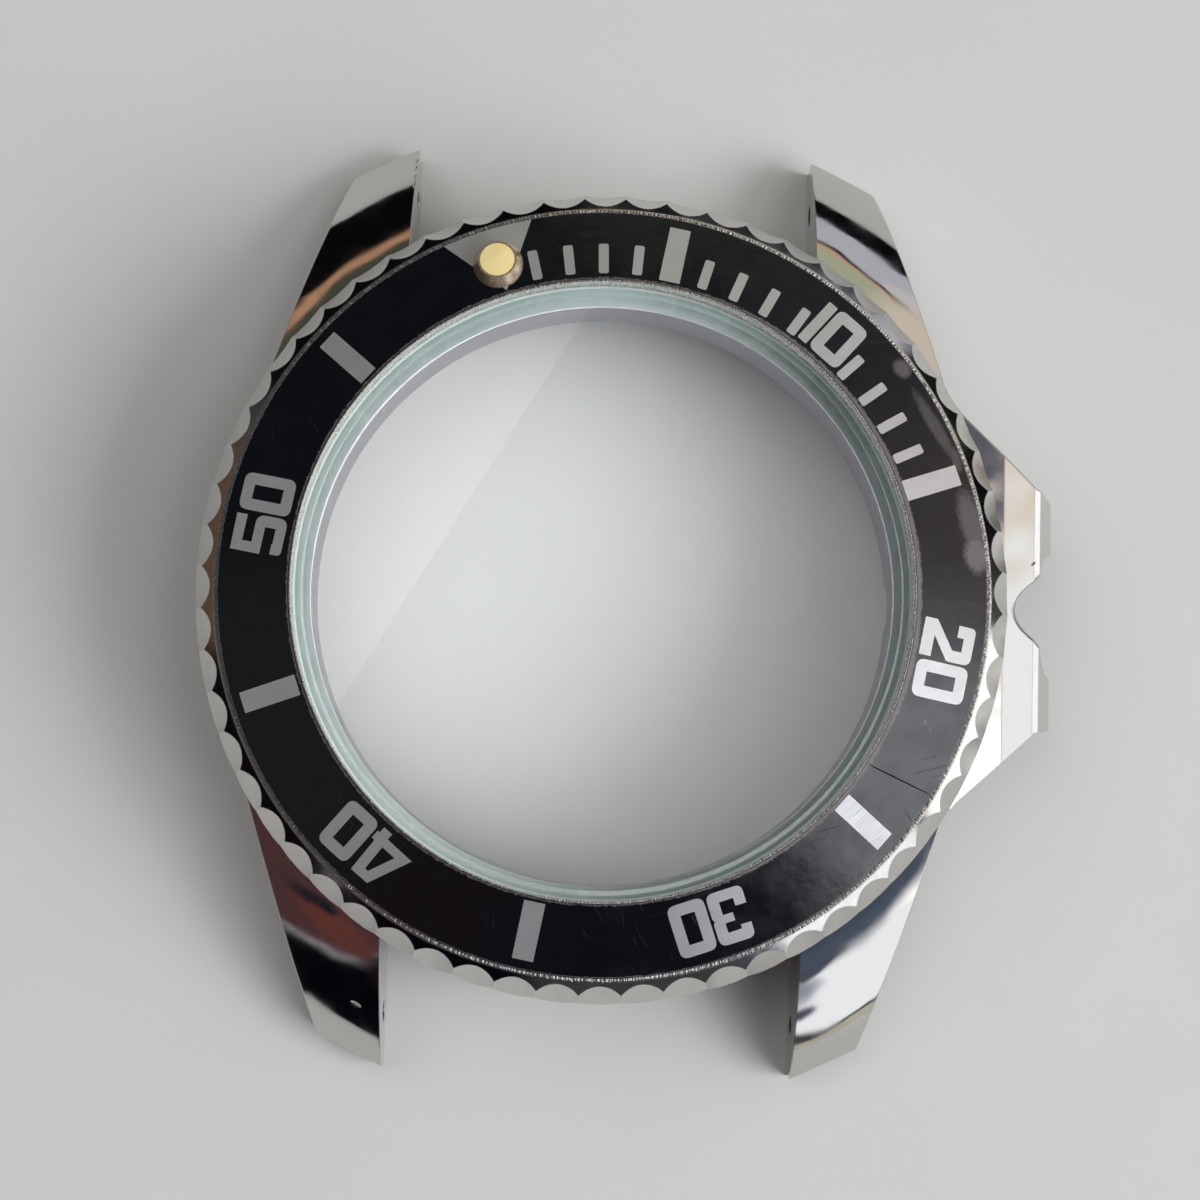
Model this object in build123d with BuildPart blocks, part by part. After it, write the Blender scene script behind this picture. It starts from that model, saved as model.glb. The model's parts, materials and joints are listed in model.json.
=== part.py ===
from build123d import *
import os
from math import atan, cos, pi, radians, sin

os.makedirs("parts", exist_ok=True)

# Empty case of a diver's watch with a turning bezel, in millimetres.
# +Z points up through the crystal, +Y to 12 o'clock and +X to the crown.
# The origin is on the case axis, in the plane of the back rim.
# Everything is drawn in the photographed state: the bezel's zero stands left of 12 o'clock.

# Driving dimensions of the crystal and its gasket
crystal_r = 15.25
crystal_thickness = 2.3
crystal_stand = 0.45
crystal_bevel_width = 0.43
crystal_bevel_height = 0.28
crystal_fit = 0.02
gasket_wall = 0.4
gasket_foot_width = 0.62
gasket_foot_thickness = 0.4

# Driving dimensions of the middle case: walls and steps from the crystal outwards
neck_wall = 1.61
shoulder_width = 3.0
body_foot_width = 1.5
dial_wall_step = 0.03
movement_shoulder = 1.1
back_thread_step = 0.8
back_thread_depth = 1.7
movement_depth = 1.4
body_foot_z = 1.0
seat_z = 6.4
neck_height = 1.8
cut_overrun = 3.0

# Driving dimensions of the lugs, seen from above and from the side
lug_gap = 21.0
lug_reach = 3.9
lug_tip_width = 3.4
lug_tip_slant = 1.6
lug_root_depth = 8.3
lug_dome_r = 14.0
lug_dome_inset = 4.6
lug_dome_sweep = 56.0
lug_tip_foot_z = -0.6
lug_foot_length = 9.2
lug_pad_length = 1.8
spring_bar_hole_r = 0.6
spring_bar_inset = 2.8
spring_bar_height = 1.7

# Driving dimensions of the crown guards and of the recess between them
waist_angle = 30.15
waist_stand = 0.1
waist_fillet_r = 3.0
guard_reach = 3.05
guard_corner_y = 5.9
guard_shoulder_length = 1.3
guard_shoulder_rise = 0.35
guard_root_drop = 0.25
guard_edge_inset = 1.05
guard_edge_drop = 0.9
guard_bevel_width = 0.35
guard_bevel_rise = 0.2
guard_foot_z = 0.3
stem_z = 2.8
recess_mouth_r = 3.25
recess_neck_r = 3.18
recess_floor_r = 3.12
recess_depth = 0.7
recess_neck_length = 1.4
recess_mouth_length = 2.4

# Driving dimensions of the crown tube
tube_press_r = 1.25
tube_barrel_r = 1.6
tube_bore_r = 0.95
stem_hole_r = 1.2
tube_press_length = 2.7
tube_barrel_length = 1.3
tube_groove_width = 0.35
tube_groove_depth = 0.15
tube_lead = 0.12
tube_fit = 0.01

# Driving dimensions of the back gasket and its groove in the back rim
back_gasket_land = 0.45
back_gasket_width = 0.9
back_gasket_proud = 0.15
back_groove_depth = 0.7
back_groove_fit = 0.05

# Driving dimensions of the bezel ring
bezel_overhang = 0.1
bezel_foot_gap = 0.15
bezel_top_gap = 0.21
bezel_neck_fit = 0.1
bezel_wall_height = 0.2
bezel_flank_inset = 0.2
bezel_flank_drop = 0.62
rim_width = 0.22
lip_width = 0.1
lip_crystal_fit = 0.1
scallop_count = 60
scallop_r = 2.1
scallop_tilt = 27.0
scallop_rim_gap = 0.125
scallop_offset = -0.25
bezel_turn = 19.75

# Driving dimensions of the insert, its adhesive and the pip
insert_width = 3.52
insert_stand = 0.8
insert_proud = 0.3
insert_rise = 0.5
insert_thickness = 0.5
insert_fit = 0.03
adhesive_thickness = 0.1
adhesive_margin = 0.15
pip_inset = 1.57
pip_base_r = 1.25
pip_top_r = 0.96
pip_height = 0.7
pip_stub_r = 0.98
pip_stub_fit = 0.02
pip_foot_band = 0.08
lume_r = 0.86
lume_depth = 0.35
lume_fit = 0.01
lume_crown = 0.07

# Driving dimensions of the click: ratchet teeth above, leaf spring below
click_count = 120
ratchet_land = 0.5
ratchet_width = 1.0
ratchet_depth = 0.45
ratchet_notch_width = 0.85
spring_margin = 0.2
spring_sheet = 0.2
spring_seat_depth = 0.4
spring_seat_fit = 0.1
pawl_angles = [30, 150, 270]
pawl_width = 0.6
pawl_length = 2.6
pawl_knee = 1.1
pawl_knee_rise = 0.1
pawl_tip_rise = 0.62
pawl_wall_gap = 0.06
pawl_window_gap = 0.1
pawl_window_ahead = 0.5
tab_angle = 90
tab_width = 1.0
tab_drop = 0.5
tab_fit = 0.05

# Driving dimensions of the retaining wire between neck and bezel
wire_half_side = 0.22
wire_inset = 0.05
wire_sides = 20
wire_height = 1.0
wire_opening = 5.4
wire_neck_fit = 0.03
wire_bezel_fit = 0.08
wire_side_fit = 0.03

# Radii that follow from the crystal, outwards
gasket_bore_r = crystal_r - gasket_foot_width
gasket_in_r = crystal_r + crystal_fit
gasket_out_r = gasket_in_r + gasket_wall
gasket_seat_r = gasket_out_r + crystal_fit
dial_bore_r = gasket_bore_r - dial_wall_step
movement_bore_r = dial_bore_r + movement_shoulder
back_thread_r = movement_bore_r + back_thread_step
back_gasket_in_r = back_thread_r + back_gasket_land
back_gasket_out_r = back_gasket_in_r + back_gasket_width
neck_r = gasket_seat_r + neck_wall
body_r = neck_r + shoulder_width
back_rim_r = body_r - body_foot_width
lip_bore_r = crystal_r + lip_crystal_fit
lip_out_r = lip_bore_r + lip_width
insert_bore_r = lip_out_r + insert_fit
insert_r = insert_bore_r + insert_width
rim_in_r = insert_r + insert_fit
rim_out_r = rim_in_r + rim_width
bezel_r = body_r + bezel_overhang
bezel_flank_r = bezel_r - bezel_flank_inset
bezel_bore_r = neck_r + bezel_neck_fit
pip_centre_r = insert_bore_r + pip_inset
wire_middle_r = neck_r - wire_inset
ratchet_in_r = neck_r + ratchet_land
ratchet_out_r = ratchet_in_r + ratchet_width
spring_mid_r = (ratchet_in_r + ratchet_out_r) / 2
spring_in_r = neck_r + spring_seat_fit
spring_out_r = ratchet_out_r + spring_margin
spring_seat_r = spring_out_r + spring_seat_fit

# Heights that follow from the shoulder, upwards
neck_top_z = seat_z + neck_height
crystal_top_z = neck_top_z + crystal_stand
crystal_foot_z = crystal_top_z - crystal_thickness
gasket_seat_z = crystal_foot_z - gasket_foot_thickness
movement_shoulder_z = back_thread_depth + movement_depth
spring_floor_z = seat_z - spring_seat_depth
wire_z = seat_z + wire_height
bezel_foot_z = seat_z + bezel_foot_gap
bed_under_z = neck_top_z + bezel_top_gap
insert_rim_z = neck_top_z + insert_stand
rim_z = insert_rim_z - insert_proud
bezel_wall_z = bezel_foot_z + bezel_wall_height
bezel_flank_z = rim_z - bezel_flank_drop
insert_slope = insert_rise / insert_width

# Places of the lugs, the guards and the crown recess that follow from the body
lug_inner_x = lug_gap / 2
lug_corner_x = lug_inner_x + lug_tip_width
lug_tip_y = body_r + lug_reach
lug_corner_y = lug_tip_y - lug_tip_slant
lug_root_y = body_r - lug_root_depth
lug_dome_start_r = body_r - lug_dome_inset
lug_foot_start_y = lug_tip_y - lug_foot_length
lug_pad_start_y = lug_tip_y - lug_pad_length
spring_bar_y = lug_tip_y - spring_bar_inset
spring_bar_z = lug_tip_foot_z + spring_bar_height
waist_r = body_r + waist_stand
waist_x = waist_r * cos(radians(waist_angle))
waist_y = waist_r * sin(radians(waist_angle))
guard_reach_x = body_r + guard_reach
guard_shoulder_x = guard_reach_x - guard_shoulder_length
guard_shoulder_y = guard_corner_y + guard_shoulder_rise
guard_edge_x = guard_reach_x - guard_edge_inset
guard_bevel_x = guard_edge_x - guard_bevel_width
guard_root_z = seat_z - guard_root_drop
guard_edge_z = seat_z - guard_edge_drop
guard_bevel_z = guard_edge_z + guard_bevel_rise
recess_floor_x = body_r - recess_depth
recess_neck_x = recess_floor_x + recess_neck_length
recess_mouth_x = recess_floor_x + recess_mouth_length
tube_inner_x = recess_floor_x - tube_press_length
tube_outer_x = recess_floor_x + tube_barrel_length
scallop_floor_r = rim_out_r + scallop_rim_gap
pip_angle = 90 + bezel_turn


def insert_top_z(radius):
    """Height of the conical insert's upper face at a radius."""
    return insert_rim_z + insert_slope * (insert_r - radius)


def section(points):
    """Closed outline of (radius, height) points, in the upright plane through the case axis."""
    with BuildSketch(Plane.XZ) as outline:
        with BuildLine():
            Polyline(*points, close=True)
        make_face()
    return outline.sketch


# Dome of the lug tops: turned about the case axis, with a block that keeps the guards at full height
with BuildPart() as lug_dome:
    with BuildSketch(Plane.XZ):
        with BuildLine():
            dome_arc = CenterArc(
                (lug_dome_start_r, seat_z - lug_dome_r), lug_dome_r, 90, -lug_dome_sweep
            )
            Polyline(
                dome_arc @ 1,
                (lug_dome_start_r + lug_dome_r * sin(radians(lug_dome_sweep)), lug_tip_foot_z),
                (0, lug_tip_foot_z),
                (0, seat_z),
                (lug_dome_start_r, seat_z),
            )
        make_face()
    revolve(axis=Axis.Z)
    with BuildSketch(Plane.XY.offset(lug_tip_foot_z)):
        Rectangle(2 * guard_reach_x, 2 * waist_y)
    extrude(amount=seat_z - lug_tip_foot_z)

# Lugs and crown guards: one outline from above, then trimmed by the side profiles and the dome
stem_axis = Axis((0, 0, stem_z), (1, 0, 0))
with BuildPart() as horns:
    with BuildSketch(Plane.XY.offset(lug_tip_foot_z)) as plan:
        with BuildLine():
            Polyline(
                (0, 0),
                (guard_reach_x, 0),
                (guard_reach_x, guard_corner_y),
                (guard_shoulder_x, guard_shoulder_y),
                (waist_x, waist_y),
                (lug_corner_x, lug_corner_y),
                (lug_inner_x, lug_tip_y),
                (lug_inner_x, lug_root_y),
                (-lug_inner_x, lug_root_y),
                (-lug_inner_x, lug_tip_y),
                (-lug_corner_x, lug_corner_y),
                (-waist_x, waist_y),
                close=True,
            )
        make_face()
        mirror(about=Plane.XZ)
        waists = plan.vertices().filter_by_position(
            Axis.X, lug_corner_x, guard_shoulder_x, inclusive=(False, False)
        )
        fillet(waists, radius=waist_fillet_r)
    extrude(amount=seat_z - lug_tip_foot_z)
    # Side profile of the lugs: the underside slopes down to a pad under the tip
    with BuildSketch(Plane.YZ.offset(-guard_reach_x)) as side:
        with BuildLine():
            Polyline(
                (0, seat_z),
                (lug_tip_y, seat_z),
                (lug_tip_y, lug_tip_foot_z),
                (lug_pad_start_y, lug_tip_foot_z),
                (lug_foot_start_y, body_foot_z),
                (0, body_foot_z),
                close=True,
            )
        make_face()
        mirror(about=Plane.YZ)
    extrude(amount=2 * guard_reach_x, mode=Mode.INTERSECT)
    # End profile of the guards: the top falls to a narrow bevel, then leans out to the stem's height
    with BuildSketch(Plane.XZ.offset(-lug_tip_y)) as ends:
        with BuildLine():
            Polyline(
                (-guard_reach_x, lug_tip_foot_z),
                (-guard_reach_x, seat_z),
                (waist_x, seat_z),
                (body_r, guard_root_z),
                (guard_bevel_x, guard_bevel_z),
                (guard_edge_x, guard_edge_z),
                (guard_reach_x, stem_z),
                (guard_edge_x, guard_foot_z),
                (waist_x, guard_foot_z),
                (waist_x, lug_tip_foot_z),
                close=True,
            )
        make_face()
    extrude(amount=2 * lug_tip_y, mode=Mode.INTERSECT)
    add(lug_dome.part, mode=Mode.INTERSECT)

# Middle case: turned body with the horns added, then bored from the back
with BuildPart() as middle_case:
    revolve(
        section([
            (0, 0),
            (back_rim_r, 0),
            (body_r, body_foot_z),
            (body_r, seat_z),
            (neck_r, seat_z),
            (neck_r, neck_top_z),
            (0, neck_top_z),
        ]),
        axis=Axis.Z,
    )
    add(horns.part)
    # Thread, movement space, dial bore and the seat of the crystal, from the back upwards
    revolve(
        section([
            (0, -cut_overrun),
            (back_thread_r, -cut_overrun),
            (back_thread_r, back_thread_depth),
            (movement_bore_r, back_thread_depth),
            (movement_bore_r, movement_shoulder_z),
            (dial_bore_r, movement_shoulder_z),
            (dial_bore_r, gasket_seat_z),
            (gasket_seat_r, gasket_seat_z),
            (gasket_seat_r, neck_top_z + cut_overrun),
            (0, neck_top_z + cut_overrun),
        ]),
        axis=Axis.Z,
        mode=Mode.SUBTRACT,
    )
    # Groove of the back gasket
    back_groove_in_r = back_gasket_in_r - back_groove_fit
    back_groove_out_r = back_gasket_out_r + back_groove_fit
    revolve(
        section([
            (back_groove_in_r, -cut_overrun),
            (back_groove_out_r, -cut_overrun),
            (back_groove_out_r, back_groove_depth),
            (back_groove_in_r, back_groove_depth),
        ]),
        axis=Axis.Z,
        mode=Mode.SUBTRACT,
    )
    # Seat of the click spring, a step in the shoulder round the neck
    revolve(
        section([
            (neck_r, spring_floor_z),
            (spring_seat_r, spring_floor_z),
            (spring_seat_r, seat_z + bezel_foot_gap),
            (neck_r, seat_z + bezel_foot_gap),
        ]),
        axis=Axis.Z,
        mode=Mode.SUBTRACT,
    )
    # Groove of the retaining wire in the neck
    wire_neck_r = wire_middle_r - wire_half_side - wire_neck_fit
    wire_half_height = wire_half_side + wire_side_fit
    revolve(
        section([
            (wire_neck_r, wire_z - wire_half_height),
            (neck_r + bezel_neck_fit, wire_z - wire_half_height),
            (neck_r + bezel_neck_fit, wire_z + wire_half_height),
            (wire_neck_r, wire_z + wire_half_height),
        ]),
        axis=Axis.Z,
        mode=Mode.SUBTRACT,
    )
    # Slot that stops the click spring from turning with the bezel
    slot_depth = tab_drop + tab_fit
    with BuildSketch(Plane.XY.offset(spring_floor_z)):
        with PolarLocations(spring_out_r - spring_sheet / 2, 1, start_angle=tab_angle):
            Rectangle(spring_sheet + 2 * tab_fit, tab_width + 2 * tab_fit)
    extrude(amount=-slot_depth, mode=Mode.SUBTRACT)
    # Crown recess, a shallow cone about the stem's axis, with the tube's bore behind it
    with BuildSketch(Plane.XZ):
        with BuildLine():
            Polyline(
                (0, stem_z),
                (0, stem_z + stem_hole_r),
                (tube_inner_x, stem_z + stem_hole_r),
                (tube_inner_x, stem_z + tube_press_r + tube_fit),
                (recess_floor_x, stem_z + tube_press_r + tube_fit),
                (recess_floor_x, stem_z + recess_floor_r),
                (recess_neck_x, stem_z + recess_neck_r),
                (recess_mouth_x, stem_z + recess_mouth_r),
                (guard_reach_x + cut_overrun, stem_z + recess_mouth_r),
                (guard_reach_x + cut_overrun, stem_z),
                close=True,
            )
        make_face()
    revolve(axis=stem_axis, mode=Mode.SUBTRACT)
    # Spring bar holes, drilled through both lugs at each end
    with BuildSketch(Plane.YZ.offset(-guard_reach_x)):
        with Locations((spring_bar_y, spring_bar_z), (-spring_bar_y, spring_bar_z)):
            Circle(spring_bar_hole_r)
    extrude(amount=2 * guard_reach_x, mode=Mode.SUBTRACT)
middle_case.part.label = "middle_case"
export_step(middle_case.part, "parts/middle_case.step")

# Crown tube: pressed into the case, with a wider barrel that carries the crown's thread
groove_x = recess_floor_x + tube_groove_width
with BuildPart() as crown_tube:
    with BuildSketch(Plane.XZ):
        with BuildLine():
            Polyline(
                (tube_inner_x, stem_z + tube_bore_r),
                (tube_inner_x, stem_z + tube_press_r - tube_lead),
                (tube_inner_x + tube_lead, stem_z + tube_press_r),
                (recess_floor_x, stem_z + tube_press_r),
                (recess_floor_x, stem_z + tube_barrel_r - tube_groove_depth),
                (groove_x, stem_z + tube_barrel_r - tube_groove_depth),
                (groove_x, stem_z + tube_barrel_r),
                (tube_outer_x - tube_lead, stem_z + tube_barrel_r),
                (tube_outer_x, stem_z + tube_barrel_r - tube_lead),
                (tube_outer_x, stem_z + tube_bore_r),
                close=True,
            )
        make_face()
    revolve(axis=stem_axis)
crown_tube.part.label = "crown_tube"
export_step(crown_tube.part, "parts/crown_tube.step")

# Back gasket, a flat ring that stands a little proud of the back rim
with BuildPart() as case_back_gasket:
    revolve(
        section([
            (back_gasket_in_r, -back_gasket_proud),
            (back_gasket_out_r, -back_gasket_proud),
            (back_gasket_out_r, back_groove_depth),
            (back_gasket_in_r, back_groove_depth),
        ]),
        axis=Axis.Z,
    )
case_back_gasket.part.label = "case_back_gasket"
export_step(case_back_gasket.part, "parts/case_back_gasket.step")

# Crystal gasket, a nylon ring of L section: the crystal stands on its foot
with BuildPart() as crystal_gasket:
    revolve(
        section([
            (gasket_bore_r, gasket_seat_z),
            (gasket_out_r, gasket_seat_z),
            (gasket_out_r, neck_top_z),
            (gasket_in_r, neck_top_z),
            (gasket_in_r, crystal_foot_z),
            (gasket_bore_r, crystal_foot_z),
        ]),
        axis=Axis.Z,
    )
crystal_gasket.part.label = "crystal_gasket"
export_step(crystal_gasket.part, "parts/crystal_gasket.step")

# Crystal, a flat mineral glass with a ground bevel round its top
with BuildPart() as crystal:
    revolve(
        section([
            (0, crystal_foot_z),
            (crystal_r, crystal_foot_z),
            (crystal_r, crystal_top_z - crystal_bevel_height),
            (crystal_r - crystal_bevel_width, crystal_top_z),
            (0, crystal_top_z),
        ]),
        axis=Axis.Z,
    )
crystal.part.label = "crystal"
export_step(crystal.part, "parts/crystal.step")

# Click spring: a sheet ring with three bent pawls and one tab, stamped from one piece
spring_top_z = spring_floor_z + spring_sheet
with BuildPart() as click_spring:
    with BuildSketch(Plane.XY.offset(spring_floor_z)):
        Circle(spring_out_r)
        Circle(spring_in_r, mode=Mode.SUBTRACT)
    extrude(amount=spring_sheet)
    window_length = pawl_length + pawl_window_ahead
    with BuildSketch(Plane.XY.offset(spring_floor_z)):
        for pawl_angle in pawl_angles:
            with PolarLocations(spring_mid_r, 1, start_angle=pawl_angle):
                with Locations((0, pawl_window_ahead - window_length / 2)):
                    Rectangle(pawl_width + 2 * pawl_window_gap, window_length)
    extrude(amount=spring_sheet, mode=Mode.SUBTRACT)
    # Each pawl rises gently from its root to a knee, then steeply to its tip
    for pawl_angle in pawl_angles:
        outward = Vector(cos(radians(pawl_angle)), sin(radians(pawl_angle)), 0)
        forward = Vector(-sin(radians(pawl_angle)), cos(radians(pawl_angle)), 0)
        root = outward * (spring_mid_r + pawl_width / 2) + Vector(0, 0, spring_floor_z)
        with BuildSketch(Plane(origin=root, x_dir=forward, z_dir=forward.cross(Vector(0, 0, 1)))):
            with BuildLine():
                Polyline(
                    (-pawl_length - spring_sheet, 0),
                    (-pawl_length, 0),
                    (-pawl_knee, pawl_knee_rise),
                    (0, pawl_tip_rise),
                    (0, pawl_tip_rise + spring_sheet),
                    (-pawl_knee, pawl_knee_rise + spring_sheet),
                    (-pawl_length, spring_sheet),
                    (-pawl_length - spring_sheet, spring_sheet),
                    close=True,
                )
            make_face()
        extrude(amount=-pawl_width)
    with BuildSketch(Plane.XY.offset(spring_floor_z)):
        with PolarLocations(spring_out_r - spring_sheet / 2, 1, start_angle=tab_angle):
            Rectangle(spring_sheet, tab_width)
    extrude(amount=-tab_drop)
click_spring.part.label = "click_spring"
export_step(click_spring.part, "parts/click_spring.step")

# Retaining wire: spring wire bent to a many-sided open ring
# Its sides press on the neck's groove and its corners stand in the bezel's
with BuildPart() as bezel_retaining_wire:
    with BuildSketch(Plane.XY.offset(wire_z - wire_half_side)):
        RegularPolygon(wire_middle_r + wire_half_side, wire_sides, major_radius=False)
        RegularPolygon(
            wire_middle_r - wire_half_side,
            wire_sides,
            major_radius=False,
            mode=Mode.SUBTRACT,
        )
        with Locations((wire_middle_r, 0)):
            Rectangle(2 * wire_half_side + cut_overrun, wire_opening, mode=Mode.SUBTRACT)
    extrude(amount=2 * wire_half_side)
bezel_retaining_wire.part.label = "bezel_retaining_wire"
export_step(bezel_retaining_wire.part, "parts/bezel_retaining_wire.step")

# Tool for one scallop: a cylinder that leans in at the top and runs out just above the foot
scallop_lean = radians(scallop_tilt)
scallop_axis_r = scallop_floor_r + scallop_r / cos(scallop_lean)
scallop_up = Vector(-sin(scallop_lean), 0, cos(scallop_lean))
with BuildPart() as scallop_tool:
    with BuildSketch(Plane(origin=(scallop_axis_r, 0, rim_z), x_dir=(0, 1, 0), z_dir=scallop_up)):
        Circle(scallop_r)
    extrude(amount=rim_z - bezel_foot_z + cut_overrun, both=True)

# Tool for one ratchet notch: upright on one side, sloping on the other, so the click is one way
notch_start = Vector(ratchet_in_r, 0, bezel_foot_z)
with BuildPart() as notch_tool:
    with BuildSketch(Plane(origin=notch_start, x_dir=(0, 1, 0), z_dir=(1, 0, 0))):
        with BuildLine():
            Polyline(
                (pawl_wall_gap, -bezel_foot_gap),
                (pawl_wall_gap, ratchet_depth),
                (pawl_wall_gap - ratchet_notch_width, 0),
                (pawl_wall_gap - ratchet_notch_width, -bezel_foot_gap),
                close=True,
            )
        make_face()
    extrude(amount=ratchet_out_r - ratchet_in_r)

# Bezel ring: turned blank with two thin lips round the insert's bed, then scalloped and toothed
bed_drop = insert_thickness + adhesive_thickness
with BuildPart() as bezel_ring:
    revolve(
        section([
            (bezel_bore_r, bezel_foot_z),
            (bezel_r, bezel_foot_z),
            (bezel_r, bezel_wall_z),
            (bezel_flank_r, bezel_flank_z),
            (rim_out_r, rim_z),
            (rim_in_r, rim_z),
            (rim_in_r, insert_top_z(rim_in_r) - bed_drop),
            (lip_out_r, insert_top_z(lip_out_r) - bed_drop),
            (lip_out_r, insert_top_z(lip_out_r)),
            (lip_bore_r, insert_top_z(lip_out_r)),
            (lip_bore_r, bed_under_z),
            (bezel_bore_r, bed_under_z),
        ]),
        axis=Axis.Z,
    )
    wire_corner_r = (wire_middle_r + wire_half_side) / cos(pi / wire_sides)
    wire_bezel_r = wire_corner_r + wire_bezel_fit
    revolve(
        section([
            (neck_r, wire_z - wire_half_height),
            (wire_bezel_r, wire_z - wire_half_height),
            (wire_bezel_r, wire_z + wire_half_height),
            (neck_r, wire_z + wire_half_height),
        ]),
        axis=Axis.Z,
        mode=Mode.SUBTRACT,
    )
    with PolarLocations(0, scallop_count, start_angle=pip_angle + scallop_offset):
        add(scallop_tool.part, mode=Mode.SUBTRACT)
    with PolarLocations(0, click_count, start_angle=pawl_angles[0]):
        add(notch_tool.part, mode=Mode.SUBTRACT)
bezel_ring.part.label = "bezel_ring"
export_step(bezel_ring.part, "parts/bezel_ring.step")

# Adhesive ring that holds the insert on its bed
adhesive_in_r = insert_bore_r + adhesive_margin
adhesive_out_r = insert_r - adhesive_margin
with BuildPart() as insert_adhesive_ring:
    revolve(
        section([
            (adhesive_in_r, insert_top_z(adhesive_in_r) - bed_drop),
            (adhesive_out_r, insert_top_z(adhesive_out_r) - bed_drop),
            (adhesive_out_r, insert_top_z(adhesive_out_r) - insert_thickness),
            (adhesive_in_r, insert_top_z(adhesive_in_r) - insert_thickness),
        ]),
        axis=Axis.Z,
    )
insert_adhesive_ring.part.label = "insert_adhesive_ring"
export_step(insert_adhesive_ring.part, "parts/insert_adhesive_ring.step")

# Plane of the pip: on the insert's upper face, square to its slope
pip_lean = atan(insert_slope)
pip_out = Vector(cos(radians(pip_angle)), sin(radians(pip_angle)), 0)
pip_origin = pip_out * pip_centre_r + Vector(0, 0, insert_top_z(pip_centre_r))
pip_normal = pip_out * sin(pip_lean) + Vector(0, 0, cos(pip_lean))
pip_side = Vector(0, 0, 1).cross(pip_out)
pip_plane = Plane(origin=pip_origin, x_dir=pip_side, z_dir=pip_normal)

# Insert: a thin aluminium cone with one hole for the stub of the pip
with BuildPart() as bezel_insert:
    revolve(
        section([
            (insert_bore_r, insert_top_z(insert_bore_r) - insert_thickness),
            (insert_r, insert_rim_z - insert_thickness),
            (insert_r, insert_rim_z),
            (insert_bore_r, insert_top_z(insert_bore_r)),
        ]),
        axis=Axis.Z,
    )
    with BuildSketch(pip_plane):
        Circle(pip_stub_r + pip_stub_fit)
    extrude(amount=insert_rise + insert_thickness, both=True, mode=Mode.SUBTRACT)
bezel_insert.part.label = "bezel_insert"
export_step(bezel_insert.part, "parts/bezel_insert.step")

# Pip cup: a turned brass cone with a stub through the insert and a socket for the lume
with BuildPart() as pip_cup:
    with BuildSketch(Plane(origin=pip_origin, x_dir=pip_side, z_dir=pip_side.cross(pip_normal))):
        with BuildLine():
            Polyline(
                (0, -insert_thickness * cos(pip_lean)),
                (pip_stub_r, -insert_thickness * cos(pip_lean)),
                (pip_stub_r, 0),
                (pip_base_r, 0),
                (pip_base_r, pip_foot_band),
                (pip_top_r, pip_height),
                (lume_r + lume_fit, pip_height),
                (lume_r + lume_fit, pip_height - lume_depth),
                (0, pip_height - lume_depth),
                close=True,
            )
        make_face()
    revolve(axis=Axis(pip_origin, pip_normal))
pip_cup.part.label = "pip_cup"
export_step(pip_cup.part, "parts/pip_cup.step")

# Pip lume: the aged paint in the socket, with a faint dome
with BuildPart() as pip_lume:
    with BuildSketch(Plane(origin=pip_origin, x_dir=pip_side, z_dir=pip_side.cross(pip_normal))):
        with BuildLine():
            Polyline(
                (0, pip_height + lume_crown),
                (0, pip_height - lume_depth),
                (lume_r, pip_height - lume_depth),
                (lume_r, pip_height),
            )
            TangentArc((0, pip_height + lume_crown), (lume_r, pip_height), tangent=(1, 0))
        make_face()
    revolve(axis=Axis(pip_origin, pip_normal))
pip_lume.part.label = "pip_lume"
export_step(pip_lume.part, "parts/pip_lume.step")
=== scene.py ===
import json
import math

import bmesh
import bpy
from mathutils import Matrix, Vector
from mathutils.geometry import tessellate_polygon

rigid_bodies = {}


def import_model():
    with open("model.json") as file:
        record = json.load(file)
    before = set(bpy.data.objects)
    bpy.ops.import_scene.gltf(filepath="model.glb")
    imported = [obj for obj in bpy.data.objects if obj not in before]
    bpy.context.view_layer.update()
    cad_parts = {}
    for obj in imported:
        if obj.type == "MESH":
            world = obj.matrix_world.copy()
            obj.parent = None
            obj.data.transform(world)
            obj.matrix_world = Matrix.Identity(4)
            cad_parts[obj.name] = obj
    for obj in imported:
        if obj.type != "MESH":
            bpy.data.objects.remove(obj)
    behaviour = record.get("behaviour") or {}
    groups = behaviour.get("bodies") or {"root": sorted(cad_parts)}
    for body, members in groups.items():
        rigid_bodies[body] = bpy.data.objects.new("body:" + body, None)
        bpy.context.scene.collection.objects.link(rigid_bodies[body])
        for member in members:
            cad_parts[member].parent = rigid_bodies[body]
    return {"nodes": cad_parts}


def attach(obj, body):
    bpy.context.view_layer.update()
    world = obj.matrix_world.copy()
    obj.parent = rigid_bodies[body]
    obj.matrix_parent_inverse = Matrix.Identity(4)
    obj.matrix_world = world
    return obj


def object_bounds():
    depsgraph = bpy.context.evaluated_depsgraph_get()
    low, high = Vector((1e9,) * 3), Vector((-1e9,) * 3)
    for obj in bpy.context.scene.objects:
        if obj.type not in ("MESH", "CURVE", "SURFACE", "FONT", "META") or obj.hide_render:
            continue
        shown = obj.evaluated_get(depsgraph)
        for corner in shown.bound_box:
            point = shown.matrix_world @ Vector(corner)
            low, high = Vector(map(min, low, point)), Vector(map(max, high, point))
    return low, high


for leftover in list(bpy.data.objects):
    bpy.data.objects.remove(leftover)
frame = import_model()
cad_box = [list(corner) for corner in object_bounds()]
scene = bpy.context.scene
MM = 0.001


# Middle case
# One block of stainless steel, forged, turned on the lathe and polished by hand to a mirror.
# The wheel leaves long soft waves in the lug tops; the bores and the back keep their turned rings.

def linear(code):
    """An sRGB hex colour as the linear colour that a shader takes."""
    parts = [int(code[k:k + 2], 16) / 255 for k in (1, 3, 5)]
    return [c / 12.92 if c <= 0.04045 else ((c + 0.055) / 1.055) ** 2.4 for c in parts] + [1.0]


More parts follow.
